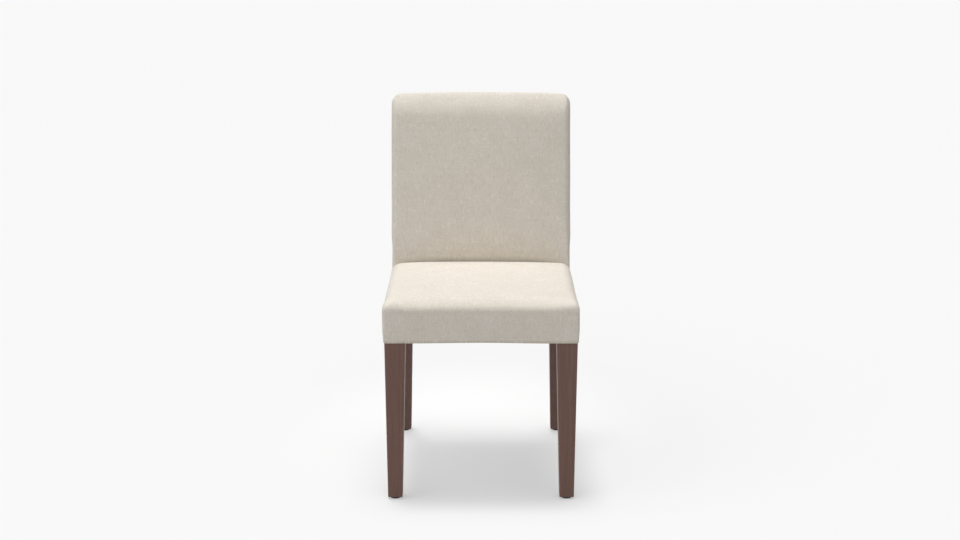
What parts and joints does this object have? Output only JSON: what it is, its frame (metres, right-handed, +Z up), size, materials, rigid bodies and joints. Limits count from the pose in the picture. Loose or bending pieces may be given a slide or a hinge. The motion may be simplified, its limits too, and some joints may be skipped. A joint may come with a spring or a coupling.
{
  "type": "parsons chair",
  "caption": "Armless dining chair with a fully upholstered seat and raked back on tapered dark stained wooden legs.",
  "frame": {"origin": "on the floor under the middle of the chair's overall width and depth", "axes": "+Z up, the chair faces -Y, +X to the sitter's left"},
  "size_m": [0.46, 0.5572, 0.91],
  "materials": {
    "linen_fabric": "ivory linen-look upholstery weave, matt",
    "stained_wood": "dark brown stain under satin lacquer",
    "frame_wood": "bare sawn hardwood",
    "foam": "open-cell polyurethane foam",
    "batting": "polyester batting",
    "felt": "grey shoddy felt",
    "webbing": "elastic upholstery webbing",
    "fibre_board": "plain fibre board",
    "cambric": "black non-woven cloth",
    "nylon": "moulded nylon, satin",
    "spring_steel": "oiled spring wire",
    "zinc_steel": "zinc plated steel"
  },
  "bodies": {
    "root": {"front_leg_left": "stained_wood", "front_leg_right": "stained_wood", "rear_leg_and_post_left": "stained_wood", "rear_leg_and_post_right": "stained_wood", "front_rail": "frame_wood", "rear_rail": "frame_wood", "side_rail_left": "frame_wood", "side_rail_right": "frame_wood", "front_corner_block_left": "frame_wood", "front_corner_block_right": "frame_wood", "rear_corner_block_left": "frame_wood", "rear_corner_block_right": "frame_wood", "back_lower_rail": "frame_wood", "back_middle_rail": "frame_wood", "back_top_rail": "frame_wood", "front_block_screw_front_rail_left": "zinc_steel", "front_block_screw_side_rail_left": "zinc_steel", "rear_block_screw_rear_rail_left": "zinc_steel", "rear_block_screw_side_rail_left": "zinc_steel", "front_block_screw_front_rail_right": "zinc_steel", "front_block_screw_side_rail_right": "zinc_steel", "rear_block_screw_rear_rail_right": "zinc_steel", "rear_block_screw_side_rail_right": "zinc_steel", "front_glide_left": "nylon", "front_glide_right": "nylon", "rear_glide_left": "nylon", "rear_glide_right": "nylon", "front_glide_nail_left": "zinc_steel", "front_glide_nail_right": "zinc_steel", "rear_glide_nail_left": "zinc_steel", "rear_glide_nail_right": "zinc_steel", "seat_spring_1": "spring_steel", "seat_spring_2": "spring_steel", "seat_spring_3": "spring_steel", "seat_spring_4": "spring_steel", "front_spring_clip_1": "zinc_steel", "front_spring_clip_2": "zinc_steel", "front_spring_clip_3": "zinc_steel", "front_spring_clip_4": "zinc_steel", "rear_spring_clip_1": "zinc_steel", "rear_spring_clip_2": "zinc_steel", "rear_spring_clip_3": "zinc_steel", "rear_spring_clip_4": "zinc_steel", "spring_felt_pad": "felt", "seat_foam": "foam", "seat_batting": "batting", "seat_cover": "linen_fabric", "dust_cover": "cambric", "back_webbing_1": "webbing", "back_webbing_2": "webbing", "back_webbing_3": "webbing", "back_webbing_4": "webbing", "back_foam": "foam", "back_batting": "batting", "back_cover": "linen_fabric", "back_board": "fibre_board", "back_tack_strip": "fibre_board", "outside_back_cover": "linen_fabric"}
  },
  "joints": []
}
